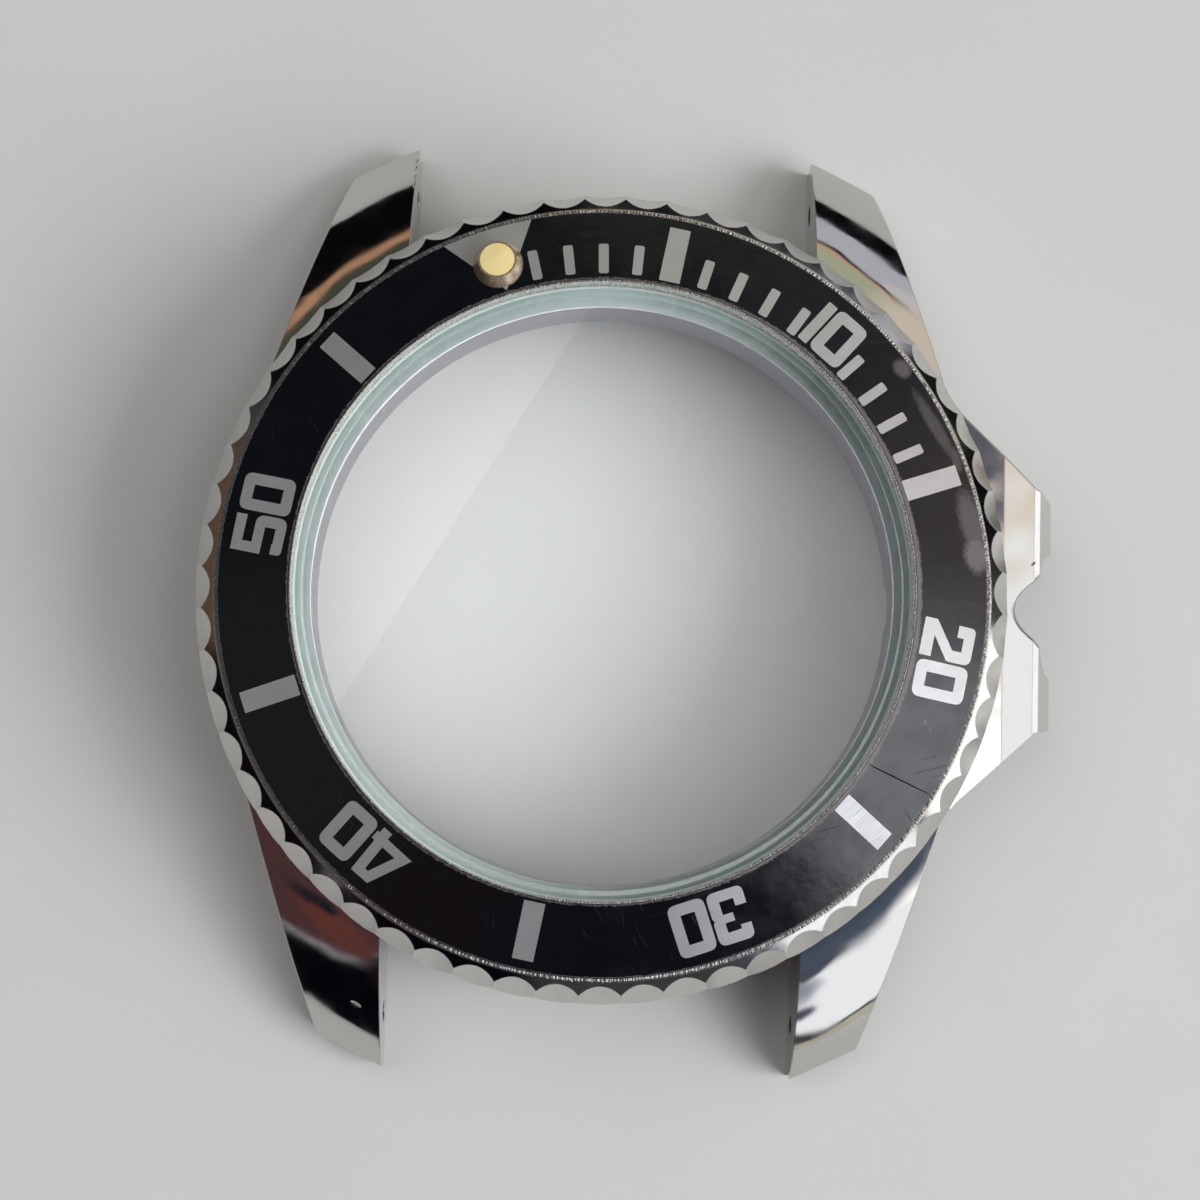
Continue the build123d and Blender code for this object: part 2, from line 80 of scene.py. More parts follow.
def add(tree, kind, sockets=None, **settings):
    """Adds a node with its settings; a socket takes a value or another node's output."""
    node = tree.nodes.new(kind)
    for name, value in settings.items():
        setattr(node, name, value)
    for name, value in (sockets or {}).items():
        if isinstance(value, bpy.types.NodeSocket):
            tree.links.new(value, node.inputs[name])
        else:
            node.inputs[name].default_value = value
    return node


def surface(name, colour, metallic, roughness):
    """A new material with its shader; colour, metallic and roughness are starting values."""
    material = bpy.data.materials.new(name)
    material.use_nodes = True
    shader = material.node_tree.nodes["Principled BSDF"]
    shader.inputs["Base Color"].default_value = linear(colour)
    shader.inputs["Metallic"].default_value = metallic
    shader.inputs["Roughness"].default_value = roughness
    return material, material.node_tree, shader


def from_axis(tree, axes):
    """Distance from the case axis, from the separate coordinates of a place."""
    flat = add(tree, "ShaderNodeCombineXYZ", {0: axes[0], 1: axes[1]}).outputs[0]
    return add(tree, "ShaderNodeVectorMath", {0: flat}, operation="LENGTH").outputs["Value"]


def dress(node_name, material):
    """Gives a carried-over node its finish in every slot."""
    for slot in frame["nodes"][node_name].material_slots:
        slot.material = material


POLISH_WAVE = 3.5      # mm, length of the waves that the polishing wheel leaves
HAIRLINE = 0.06        # mm, width of a wiping scratch, drawn coarser than life so that it shows
TURNING_PITCH = 0.09   # mm, feed of the lathe tool in the bores and on the back
THREAD_PITCH = 0.5     # mm, pitch of the case back's thread
EDGE_ROUND = 0.11      # mm, how far polishing has softened the edges
BORE_REACH = 16.6      # mm, radius within which every wall is a turned bore
RIM_REACH = 19.0       # mm, radius within which the back stays turned
THREAD_SPAN = (0.06, 1.68)           # mm, heights between which the case back's thread runs

polished_steel, tree, shader = surface("stainless steel, mirror polished", "#cfcdca", 1.0, 0.06)
place = add(tree, "ShaderNodeTexCoord").outputs["Object"]
axes = add(tree, "ShaderNodeSeparateXYZ", {0: place}).outputs
radius = from_axis(tree, axes)
# Bores, back and recess stay turned: they lie inside the neck's radius or on the back rim. There the steel is also
# painted a darker lilac grey, as painted shade.
inside = add(tree, "ShaderNodeMath", {0: radius, 1: BORE_REACH * MM}, operation="LESS_THAN").outputs[0]
under = add(tree, "ShaderNodeMath", {0: axes[2], 1: 0.05 * MM}, operation="LESS_THAN").outputs[0]
within_body = add(tree, "ShaderNodeMath", {0: radius, 1: RIM_REACH * MM}, operation="LESS_THAN").outputs[0]
back = add(tree, "ShaderNodeMath", {0: under, 1: within_body}, operation="MULTIPLY").outputs[0]
turned = add(tree, "ShaderNodeMath", {0: inside, 1: back}, operation="MAXIMUM").outputs[0]
smears = add(tree, "ShaderNodeTexNoise", {"Vector": place, "Scale": 1 / (1.6 * MM), "Detail": 5.0, "Roughness": 0.6})
polish = add(tree, "ShaderNodeMapRange", {0: smears.outputs["Fac"], 1: 0.35, 2: 0.75, 3: 0.035, 4: 0.13})
hair_place = add(tree, "ShaderNodeMapping", {"Vector": place, "Rotation": (0.0, 0.0, math.radians(28)),
                                             "Scale": (16 * HAIRLINE * MM, HAIRLINE * MM, 3 * HAIRLINE * MM)},
                 vector_type="TEXTURE")
hairs = add(tree, "ShaderNodeTexNoise", {"Vector": hair_place.outputs[0], "Scale": 1.0, "Detail": 2.0})
hair_lines = add(tree, "ShaderNodeMapRange", {0: hairs.outputs["Fac"], 1: 0.69, 2: 0.74, 3: 0.0, 4: 1.0})
handled = add(tree, "ShaderNodeTexNoise", {"Vector": place, "Scale": 1 / (5 * MM), "Detail": 2.0})
hair_patches = add(tree, "ShaderNodeMapRange", {0: handled.outputs["Fac"], 1: 0.5, 2: 0.7, 3: 0.0, 4: 0.6})
hair_amount = add(tree, "ShaderNodeMath", {0: hair_lines.outputs[0], 1: hair_patches.outputs[0]}, operation="MULTIPLY")
polished_rough = add(tree, "ShaderNodeMath", {0: hair_amount.outputs[0], 1: 0.16, 2: polish.outputs[0]},
                     operation="MULTIPLY_ADD")
rough = add(tree, "ShaderNodeMix", {0: turned, 2: polished_rough.outputs[0], 3: 0.38}, data_type="FLOAT")
# Painted shade: the turned bores, back and recess get a darker lilac grey base colour than the polished steel.
tone = add(tree, "ShaderNodeMix", {0: turned, 6: linear("#cfcdca"), 7: linear("#b2aeb8")}, data_type="RGBA")
tree.links.new(tone.outputs[2], shader.inputs["Base Color"])
waves = add(tree, "ShaderNodeTexNoise", {"Vector": place, "Scale": 1 / (POLISH_WAVE * MM), "Detail": 1.0})
feed = add(tree, "ShaderNodeMath", {0: radius, 1: axes[2]}, operation="ADD").outputs[0]
rings = add(tree, "ShaderNodeMath", {0: feed, 1: 2 * math.pi / (TURNING_PITCH * MM)}, operation="MULTIPLY")
ring_cut = add(tree, "ShaderNodeMath", {0: rings.outputs[0]}, operation="SINE")
ring_height = add(tree, "ShaderNodeMath", {0: ring_cut.outputs[0], 1: turned}, operation="MULTIPLY")
thread_low = add(tree, "ShaderNodeMath", {0: axes[2], 1: THREAD_SPAN[1] * MM}, operation="LESS_THAN")
thread_high = add(tree, "ShaderNodeMath", {0: axes[2], 1: THREAD_SPAN[0] * MM}, operation="GREATER_THAN")
thread_band = add(tree, "ShaderNodeMath", {0: thread_low.outputs[0], 1: thread_high.outputs[0]}, operation="MULTIPLY")
thread_inside = add(tree, "ShaderNodeMath", {0: thread_band.outputs[0], 1: inside}, operation="MULTIPLY")
thread_turns = add(tree, "ShaderNodeMath", {0: axes[2], 1: 1 / (THREAD_PITCH * MM)}, operation="MULTIPLY")
thread_form = add(tree, "ShaderNodeMath", {0: thread_turns.outputs[0], 1: 0.5}, operation="PINGPONG")
thread_height = add(tree, "ShaderNodeMath", {0: thread_form.outputs[0], 1: thread_inside.outputs[0]},
                    operation="MULTIPLY")
softened = add(tree, "ShaderNodeBevel", {"Radius": EDGE_ROUND * MM}, samples=6)
wave_bump = add(tree, "ShaderNodeBump", {"Height": waves.outputs["Fac"], "Distance": 0.05 * MM, "Strength": 1.0,
                                         "Normal": softened.outputs[0]})
ring_bump = add(tree, "ShaderNodeBump", {"Height": ring_height.outputs[0], "Distance": 0.003 * MM,
                                         "Strength": 1.0, "Normal": wave_bump.outputs[0]})
thread_bump = add(tree, "ShaderNodeBump", {"Height": thread_height.outputs[0], "Distance": 0.5 * MM,
                                           "Strength": 1.0, "Normal": ring_bump.outputs[0]})
hair_bump = add(tree, "ShaderNodeBump", {"Height": hair_amount.outputs[0], "Distance": -0.002 * MM,
                                         "Strength": 1.0, "Normal": thread_bump.outputs[0]})
# Knocks on the lower left lug, along the inner edge of the upper left one and on the upper guard:
# place and half length in mm, turn in degrees
knocks = 0.0
for x, y, z, half, turn in (
        (-11.72, -20.95, 3.46, 0.36, -27), (-10.55, 23.3, 2.4, 0.24, 90), (-10.55, 22.75, 2.85, 0.24, 90),
        (-10.55, 22.2, 3.3, 0.2, 90), (-10.55, 21.6, 3.75, 0.2, 90), (21.9, 2.4, 5.7, 0.16, 40)):
    spread = add(tree, "ShaderNodeMapping", {"Vector": place, "Location": Vector((x, y, z)) * MM,
                                             "Rotation": (0.0, 0.0, math.radians(turn)),
                                             "Scale": (half * MM, 0.45 * half * MM, half * MM)}, vector_type="TEXTURE")
    reach = add(tree, "ShaderNodeVectorMath", {0: spread.outputs[0]}, operation="LENGTH").outputs["Value"]
    dent = add(tree, "ShaderNodeMapRange", {0: reach, 1: 0.3, 2: 1.0, 3: 1.0, 4: 0.0})
    knocks = add(tree, "ShaderNodeMath", {0: knocks, 1: dent.outputs[0]}, operation="MAXIMUM").outputs[0]
knock_bump = add(tree, "ShaderNodeBump", {"Height": knocks, "Distance": -0.15 * MM, "Strength": 1.0,
                                          "Normal": hair_bump.outputs[0]})
tree.links.new(knock_bump.outputs[0], shader.inputs["Normal"])
knocked_rough = add(tree, "ShaderNodeMath", {0: knocks, 1: 0.3, 2: rough.outputs[0]}, operation="MULTIPLY_ADD")
tree.links.new(knocked_rough.outputs[0], shader.inputs["Roughness"])
dress("middle_case", polished_steel)


# Crown tube
# A tube of stainless steel, turned to size and pressed into the case from the crown's side.
# The tool leaves fine rings round it, so it shines in a streak along its length.

turned_steel, tree, shader = surface("stainless steel, turned", "#bdbbb7", 1.0, 0.26)
place = add(tree, "ShaderNodeTexCoord").outputs["Object"]
cut = add(tree, "ShaderNodeTexWave", {"Vector": place, "Scale": 1 / (6.3 * TURNING_PITCH * MM), "Distortion": 0.4},
          wave_type="BANDS", bands_direction="X")
grain = add(tree, "ShaderNodeTexNoise", {"Vector": place, "Scale": 1 / (0.25 * MM), "Detail": 4.0})
rough = add(tree, "ShaderNodeMapRange", {0: grain.outputs["Fac"], 1: 0.3, 2: 0.7, 3: 0.18, 4: 0.34})
tree.links.new(rough.outputs[0], shader.inputs["Roughness"])
cut_bump = add(tree, "ShaderNodeBump", {"Height": cut.outputs["Fac"], "Distance": 0.004 * MM})
tree.links.new(cut_bump.outputs[0], shader.inputs["Normal"])
dress("crown_tube", turned_steel)


# Case back gasket
# A flat ring of black nitrile rubber, moulded and trimmed, laid loose in the groove of the back rim.
# The rubber is dull, with a faint bloom where it has aged.

nitrile_rubber, tree, shader = surface("nitrile rubber, moulded", "#1b1b1a", 0.0, 0.72)
place = add(tree, "ShaderNodeTexCoord").outputs["Object"]
bloom = add(tree, "ShaderNodeTexNoise", {"Vector": place, "Scale": 1 / (1.2 * MM), "Detail": 6.0})
tone = add(tree, "ShaderNodeMix", {0: bloom.outputs["Fac"], 6: linear("#141413"), 7: linear("#33322f")},
           data_type="RGBA")
tree.links.new(tone.outputs[2], shader.inputs["Base Color"])
skin = add(tree, "ShaderNodeTexNoise", {"Vector": place, "Scale": 1 / (0.08 * MM), "Detail": 3.0})
skin_bump = add(tree, "ShaderNodeBump", {"Height": skin.outputs["Fac"], "Distance": 0.01 * MM})
tree.links.new(skin_bump.outputs[0], shader.inputs["Normal"])
dress("case_back_gasket", nitrile_rubber)


# Crystal
# A disc of mineral glass with a ground and polished bevel, pressed into its gasket.
# It is clear across, with a faint sea green where one looks through its edge.

CRYSTAL_EDGE = (14.78, 14.84)        # mm, radii between which the glass takes its edge's green

mineral_glass, tree, shader = surface("mineral glass, ground and polished", "#f4faf7", 0.0, 0.0)
shader.inputs["IOR"].default_value = 1.52
shader.inputs["Transmission Weight"].default_value = 1.0
place = add(tree, "ShaderNodeTexCoord").outputs["Object"]
axes = add(tree, "ShaderNodeSeparateXYZ", {0: place}).outputs
radius = from_axis(tree, axes)
rim = add(tree, "ShaderNodeMapRange", {0: radius, 1: CRYSTAL_EDGE[0] * MM, 2: CRYSTAL_EDGE[1] * MM,
                                         3: 0.0, 4: 1.0})
tone = add(tree, "ShaderNodeMix", {0: rim.outputs[0], 6: linear("#fdfefd"), 7: linear("#dcf0ea")}, data_type="RGBA")
tree.links.new(tone.outputs[2], shader.inputs["Base Color"])
# Lamps shine through the glass unbent, so that what lies under it is lit as in life
through = add(tree, "ShaderNodeBsdfTransparent", {"Color": linear("#f9fbfa")})
lamp_ray = add(tree, "ShaderNodeLightPath").outputs["Is Shadow Ray"]
either = add(tree, "ShaderNodeMixShader", {0: lamp_ray, 1: shader.outputs[0], 2: through.outputs[0]})
tree.links.new(either.outputs[0], tree.nodes["Material Output"].inputs["Surface"])
dress("crystal", mineral_glass)


# Crystal gasket
# A ring of white nylon with an L section, turned from bar; the crystal is pressed down onto its foot.
# It is a cool white, and takes a pale green tint where the glass's edge lies over it.

white_nylon, tree, shader = surface("nylon, turned", "#e3ece2", 0.0, 0.45)
place = add(tree, "ShaderNodeTexCoord").outputs["Object"]
cloud = add(tree, "ShaderNodeTexNoise", {"Vector": place, "Scale": 1 / (0.9 * MM), "Detail": 4.0})
tone = add(tree, "ShaderNodeMix", {0: cloud.outputs["Fac"], 6: linear("#d3dadb"), 7: linear("#eceff0")},
           data_type="RGBA")
tree.links.new(tone.outputs[2], shader.inputs["Base Color"])
nylon_bump = add(tree, "ShaderNodeBump", {"Height": cloud.outputs["Fac"], "Distance": 0.01 * MM})
tree.links.new(nylon_bump.outputs[0], shader.inputs["Normal"])
dress("crystal_gasket", white_nylon)


# Click spring and retaining wire
# Both are carbon spring steel: the click is stamped from sheet and tempered, the wire is drawn and bent.
# Tempering leaves a straw tint that deepens in patches.

spring_steel, tree, shader = surface("spring steel, tempered", "#a8a196", 1.0, 0.3)
place = add(tree, "ShaderNodeTexCoord").outputs["Object"]
temper = add(tree, "ShaderNodeTexNoise", {"Vector": place, "Scale": 1 / (2.5 * MM), "Detail": 3.0})
tone = add(tree, "ShaderNodeMix", {0: temper.outputs["Fac"], 6: linear("#b9b2a4"), 7: linear("#8e8272")},
           data_type="RGBA")
tree.links.new(tone.outputs[2], shader.inputs["Base Color"])
rolled = add(tree, "ShaderNodeTexNoise", {"Vector": place, "Scale": 1 / (0.1 * MM), "Detail": 3.0})
rolled_bump = add(tree, "ShaderNodeBump", {"Height": rolled.outputs["Fac"], "Distance": 0.004 * MM})
tree.links.new(rolled_bump.outputs[0], shader.inputs["Normal"])
dress("click_spring", spring_steel)
dress("bezel_retaining_wire", spring_steel)


# Bezel ring
# A turned ring of stainless steel with sixty scallops milled round it for the fingers.
# The lips and cusps were polished and are full of nicks; the milled scallops are a fine blasted grey.

NICK = 0.16            # mm, pitch of the nicks along the lips
BLAST_GRIT = 0.05      # mm, grain of the scallops, drawn coarser than life so that it shows
LIP_SEAT = 19.0        # mm, radius where the outer lip starts; everything outside it is lip, cusp or scallop
INNER_LIP = 16.0       # mm, radius within which the ring is its inner lip

bezel_steel, tree, shader = surface("stainless steel, milled, blasted and polished", "#c8c4be", 1.0, 0.3)
place = add(tree, "ShaderNodeTexCoord").outputs["Object"]
axes = add(tree, "ShaderNodeSeparateXYZ", {0: place}).outputs
radius = from_axis(tree, axes)
turn = add(tree, "ShaderNodeMath", {0: axes[1], 1: axes[0]}, operation="ARCTAN2").outputs[0]
facing = add(tree, "ShaderNodeSeparateXYZ", {0: add(tree, "ShaderNodeNewGeometry").outputs["True Normal"]}).outputs[2]
outer = add(tree, "ShaderNodeMath", {0: radius, 1: (LIP_SEAT + 0.02) * MM}, operation="GREATER_THAN").outputs[0]
leaning = add(tree, "ShaderNodeMath", {0: facing, 1: 0.6}, operation="LESS_THAN").outputs[0]
leaning_up = add(tree, "ShaderNodeMath", {0: facing, 1: 0.16}, operation="GREATER_THAN").outputs[0]
scalloped = add(tree, "ShaderNodeMath", {0: leaning, 1: leaning_up}, operation="MULTIPLY").outputs[0]
scallop = add(tree, "ShaderNodeMath", {0: scalloped, 1: outer}, operation="MULTIPLY").outputs[0]
# Nicks stand across the lips in a row, on the inner lip and along the inner corner of the outer one
on_inner = add(tree, "ShaderNodeMath", {0: radius, 1: INNER_LIP * MM}, operation="LESS_THAN").outputs[0]
rim_start = add(tree, "ShaderNodeMapRange", {0: radius, 1: LIP_SEAT * MM, 2: (LIP_SEAT + 0.05) * MM,
                                             3: 0.0, 4: 1.0}).outputs[0]
rim_end = add(tree, "ShaderNodeMapRange", {0: radius, 1: (LIP_SEAT + 0.18) * MM, 2: (LIP_SEAT + 0.26) * MM,
                                           3: 1.0, 4: 0.0}).outputs[0]
on_outer = add(tree, "ShaderNodeMath", {0: rim_start, 1: rim_end}, operation="MULTIPLY").outputs[0]
on_lips = add(tree, "ShaderNodeMath", {0: on_inner, 1: on_outer}, operation="MAXIMUM").outputs[0]
along = add(tree, "ShaderNodeMath", {0: turn, 1: (LIP_SEAT + 0.1) / NICK}, operation="MULTIPLY").outputs[0]
across = add(tree, "ShaderNodeMath", {0: radius, 1: 1 / (0.35 * MM)}, operation="MULTIPLY").outputs[0]
row = add(tree, "ShaderNodeCombineXYZ", {0: along, 1: across}).outputs[0]
nick_cells = add(tree, "ShaderNodeTexVoronoi", {"Vector": row, "Scale": 1.0, "Randomness": 0.9}, feature="F1")
nick_chance = add(tree, "ShaderNodeTexNoise", {"Vector": place, "Scale": 1 / (1.1 * MM), "Detail": 4.0,
                                               "Roughness": 0.7})
nick_shape = add(tree, "ShaderNodeMapRange", {0: nick_cells.outputs["Distance"], 1: 0.12, 2: 0.5, 3: 1.0, 4: 0.0})
nick_where = add(tree, "ShaderNodeMapRange", {0: nick_chance.outputs["Fac"], 1: 0.4, 2: 0.6, 3: 0.1, 4: 1.0})
# The ring is handled at the crown's side, so the left of the lips has kept its polish
rubbed_side = add(tree, "ShaderNodeMapRange", {0: axes[0], 1: -12 * MM, 2: 6 * MM, 3: 0.3, 4: 1.0})
lips_here = add(tree, "ShaderNodeMath", {0: on_lips, 1: rubbed_side.outputs[0]}, operation="MULTIPLY").outputs[0]
nick_here = add(tree, "ShaderNodeMath", {0: nick_where.outputs[0], 1: lips_here}, operation="MULTIPLY")
nicks = add(tree, "ShaderNodeMath", {0: nick_shape.outputs[0], 1: nick_here.outputs[0]}, operation="MULTIPLY")
rubbed_lip = add(tree, "ShaderNodeMapRange", {0: on_lips, 1: 0.0, 2: 1.0, 3: 0.09, 4: 0.26})
lip_rough = add(tree, "ShaderNodeMath", {0: nicks.outputs[0], 1: 0.2, 2: rubbed_lip.outputs[0]},
                operation="MULTIPLY_ADD")
rough = add(tree, "ShaderNodeMix", {0: scallop, 2: lip_rough.outputs[0], 3: 0.33}, data_type="FLOAT")
tree.links.new(rough.outputs[0], shader.inputs["Roughness"])
grime = add(tree, "ShaderNodeTexNoise", {"Vector": place, "Scale": 1 / (0.6 * MM), "Detail": 6.0, "Roughness": 0.7})
lip_tone = add(tree, "ShaderNodeMix", {0: grime.outputs["Fac"], 6: linear("#e6e5e2"), 7: linear("#cac3be")},
               data_type="RGBA")
scallop_tone = add(tree, "ShaderNodeMix", {0: grime.outputs["Fac"], 6: linear("#dcdbd8"), 7: linear("#c4c3c0")},
                   data_type="RGBA")
tone = add(tree, "ShaderNodeMix", {0: scallop, 6: lip_tone.outputs[2], 7: scallop_tone.outputs[2]}, data_type="RGBA")
tree.links.new(tone.outputs[2], shader.inputs["Base Color"])
blast = add(tree, "ShaderNodeTexNoise", {"Vector": place, "Scale": 1 / (BLAST_GRIT * MM), "Detail": 3.0})
blast_height = add(tree, "ShaderNodeMath", {0: blast.outputs["Fac"], 1: scallop}, operation="MULTIPLY")
worn_edge = add(tree, "ShaderNodeBevel", {"Radius": 0.08 * MM}, samples=6)
streak_row = add(tree, "ShaderNodeMapping", {"Vector": row, "Scale": (0.6, 4.0, 1.0)}, vector_type="TEXTURE")
streaks = add(tree, "ShaderNodeTexNoise", {"Vector": streak_row.outputs[0], "Scale": 1.0, "Detail": 2.0})
streak_height = add(tree, "ShaderNodeMath", {0: streaks.outputs["Fac"], 1: lips_here}, operation="MULTIPLY")
streak_bump = add(tree, "ShaderNodeBump", {"Height": streak_height.outputs[0], "Distance": 0.05 * MM,
                                           "Strength": 1.0, "Normal": worn_edge.outputs[0]})
nick_bump = add(tree, "ShaderNodeBump", {"Height": nicks.outputs[0], "Distance": -0.045 * MM, "Strength": 1.0,
                                         "Normal": streak_bump.outputs[0]})
blast_bump = add(tree, "ShaderNodeBump", {"Height": blast_height.outputs[0], "Distance": 0.01 * MM,
                                          "Strength": 1.0, "Normal": nick_bump.outputs[0]})
tree.links.new(blast_bump.outputs[0], shader.inputs["Normal"])
dress("bezel_ring", bezel_steel)


# Insert and its adhesive
# The insert is aluminium sheet, pressed to a cone and anodised black, held by a ring of adhesive film.
# The oxide is glossy and hard, but it has hairlines, and near its edges it is rubbed through to grey.

ZERO = math.radians(109.75)          # where the scale's zero stands
INSERT_RIM = 19.0                    # mm, outer radius
INSERT_BORE = 15.48                  # mm, inner radius
INSERT_RIM_HEIGHT = 9.0              # mm, height of its top at the rim
INSERT_SLOPE = 0.5 / 3.52            # rise towards the bore over the ring's width, both in mm

anodised, tree, shader = surface("aluminium, anodised black", "#0b0c10", 0.0, 0.16)
shader.inputs["IOR"].default_value = 1.6
place = add(tree, "ShaderNodeTexCoord").outputs["Object"]
axes = add(tree, "ShaderNodeSeparateXYZ", {0: place}).outputs
radius = from_axis(tree, axes)
ragged = add(tree, "ShaderNodeTexNoise", {"Vector": place, "Scale": 1 / (0.22 * MM), "Detail": 5.0,
                                          "Roughness": 0.65})
# The bore's edge is worn most at the crown's side, the rim's edge all round
from_bore = add(tree, "ShaderNodeMapRange", {0: radius, 1: INSERT_BORE * MM, 2: (INSERT_BORE + 0.42) * MM,
                                             3: 0.3, 4: -0.9})
right_side = add(tree, "ShaderNodeMapRange", {0: axes[0], 1: 3 * MM, 2: 15 * MM, 3: 0.0, 4: 0.5})
worn_bore = add(tree, "ShaderNodeMath", {0: from_bore.outputs[0], 1: right_side.outputs[0]}, operation="ADD")
from_rim = add(tree, "ShaderNodeMapRange", {0: radius, 1: (INSERT_RIM - 0.1) * MM, 2: INSERT_RIM * MM,
                                            3: -0.3, 4: 0.35})
near_edge = add(tree, "ShaderNodeMath", {0: worn_bore.outputs[0], 1: from_rim.outputs[0]}, operation="MAXIMUM")
edge_wear = add(tree, "ShaderNodeMath", {0: near_edge.outputs[0], 1: ragged.outputs["Fac"]}, operation="ADD")
worn = add(tree, "ShaderNodeMapRange", {0: edge_wear.outputs[0], 1: 0.55, 2: 0.85, 3: 0.0, 4: 1.0}).outputs[0]
# Rubbed lobes by the outer rim, then two nicks: minutes after zero, distance in from the rim, half length,
# half width in mm, lean in degrees, how far the oxide is gone
for minute, inset, half_length, half_width, lean, gone in (
        (11.9, 0.42, 0.55, 0.44, 0, 0.5), (13.6, 0.58, 2.1, 0.34, 4, 0.3), (14.6, 0.3, 0.7, 0.26, 0, 0.3),
        (16.3, 0.45, 1.9, 0.62, 4, 0.42), (17.1, 0.42, 1.0, 0.66, 0, 0.7),
        (21.76, 1.9, 0.16, 0.05, 30, 1.0), (21.9, 1.52, 0.13, 0.05, 40, 1.0)):
    angle = ZERO - math.radians(6 * minute)
    spot = Vector((math.cos(angle), math.sin(angle), 0)) * (INSERT_RIM - inset) * MM
    lobe = add(tree, "ShaderNodeMapping", {"Vector": place, "Location": spot,
                                           "Rotation": (0.0, 0.0, angle + math.radians(90 + lean)),
                                           "Scale": (half_length * MM, half_width * MM, 1.0)}, vector_type="TEXTURE")
    away = add(tree, "ShaderNodeVectorMath", {0: lobe.outputs[0]}, operation="LENGTH")
    ragged_away = add(tree, "ShaderNodeMath", {0: ragged.outputs["Fac"], 1: 0.7, 2: away.outputs["Value"]},
                      operation="MULTIPLY_ADD")
    patch = add(tree, "ShaderNodeMapRange", {0: ragged_away.outputs[0], 1: 0.95, 2: 1.45, 3: gone, 4: 0.0})
    worn = add(tree, "ShaderNodeMath", {0: worn, 1: patch.outputs[0]}, operation="MAXIMUM").outputs[0]
# Hairlines in three directions, each with how rare it is, in patches
scratch_height = 0.0
scarce = add(tree, "ShaderNodeTexNoise", {"Vector": place, "Scale": 1 / (6 * MM), "Detail": 1.0})
scratch_where = add(tree, "ShaderNodeMapRange", {0: scarce.outputs["Fac"], 1: 0.5, 2: 0.6, 3: 0.0, 4: 1.0})
for turn, chance in ((17, 0.72), (91, 0.735), (120.5, 0.72)):
    run = add(tree, "ShaderNodeMapping", {"Vector": place, "Rotation": (0.0, 0.0, math.radians(turn)),
                                          "Scale": (3 * MM, 0.05 * MM, 3 * MM)}, vector_type="TEXTURE")
    line = add(tree, "ShaderNodeTexNoise", {"Vector": run.outputs[0], "Scale": 1.0, "Detail": 1.0})
    line_cut = add(tree, "ShaderNodeMapRange", {0: line.outputs["Fac"], 1: chance, 2: chance + 0.04, 3: 0.0, 4: 1.0})
    line_here = add(tree, "ShaderNodeMath", {0: line_cut.outputs[0], 1: scratch_where.outputs[0]}, operation="MULTIPLY")
    scratch_height = add(tree, "ShaderNodeMath", {0: scratch_height, 1: line_here.outputs[0]},
                         operation="MAXIMUM").outputs[0]
# One long cut crosses the insert at the lower right
cut = add(tree, "ShaderNodeMapping", {"Vector": place, "Location": Vector((14.64, -8.86, 0)) * MM,
                                      "Rotation": (0.0, 0.0, math.radians(-23.7)),
                                      "Scale": (1.75 * MM, 0.035 * MM, 1.0)}, vector_type="TEXTURE")
cut_away = add(tree, "ShaderNodeVectorMath", {0: cut.outputs[0]}, operation="LENGTH")
cut_here = add(tree, "ShaderNodeMapRange", {0: cut_away.outputs["Value"], 1: 0.8, 2: 1.1, 3: 2.2, 4: 0.0})
scratch_height = add(tree, "ShaderNodeMath", {0: scratch_height, 1: cut_here.outputs[0]},
                     operation="MAXIMUM").outputs[0]
bared = add(tree, "ShaderNodeMath", {0: worn, 1: 0.85}, operation="MULTIPLY")
tree.links.new(bared.outputs[0], shader.inputs["Metallic"])
tone = add(tree, "ShaderNodeMix", {0: worn, 6: linear("#090a0f"), 7: linear("#8f8a8c")}, data_type="RGBA")
tree.links.new(tone.outputs[2], shader.inputs["Base Color"])
gloss = add(tree, "ShaderNodeTexNoise", {"Vector": place, "Scale": 1 / (1.4 * MM), "Detail": 4.0})
gloss_rough = add(tree, "ShaderNodeMapRange", {0: gloss.outputs["Fac"], 1: 0.35, 2: 0.7, 3: 0.12, 4: 0.22})
worn_rough = add(tree, "ShaderNodeMath", {0: worn, 1: 0.3, 2: gloss_rough.outputs[0]}, operation="MULTIPLY_ADD")
scratch_rough = add(tree, "ShaderNodeMath", {0: scratch_height, 1: 0.25, 2: worn_rough.outputs[0]},
                    operation="MULTIPLY_ADD")
tree.links.new(scratch_rough.outputs[0], shader.inputs["Roughness"])
scratch_bump = add(tree, "ShaderNodeBump", {"Height": scratch_height, "Distance": -0.003 * MM})
orange_peel = add(tree, "ShaderNodeBump", {"Height": gloss.outputs["Fac"], "Distance": 0.01 * MM,
                                           "Normal": scratch_bump.outputs[0]})
tree.links.new(orange_peel.outputs[0], shader.inputs["Normal"])
dress("bezel_insert", anodised)

adhesive_film, tree, shader = surface("acrylic adhesive film", "#d8d2c0", 0.0, 0.5)
place = add(tree, "ShaderNodeTexCoord").outputs["Object"]
film = add(tree, "ShaderNodeTexNoise", {"Vector": place, "Scale": 1 / (0.5 * MM), "Detail": 4.0})
film_bump = add(tree, "ShaderNodeBump", {"Height": film.outputs["Fac"], "Distance": 0.02 * MM})
tree.links.new(film_bump.outputs[0], shader.inputs["Normal"])
dress("insert_adhesive_ring", adhesive_film)


# Minute scale
# The marks are places where the black was masked, so brushed aluminium shows, under a thin clear oxide.
# They turn with the insert: bars each minute before 15 and each five after it, numerals each ten.

MARK_LIFT = 0.012                    # mm, how far a mark stands over the oxide, so that it always shows
LONG_BAR = (15.68, 18.54, 1.05)      # mm: inner and outer radius, width
SHORT_BAR = (15.76, 17.32, 0.5)      # mm, the same
NUMERAL_FOOT = 15.82                 # mm, radius at the foot of a numeral
DIGIT_GAP = 0.13                     # mm, between a numeral's two digits
TRACK_STEP = 0.22                    # mm along the track, between the cuts that let a mark bend with the cone

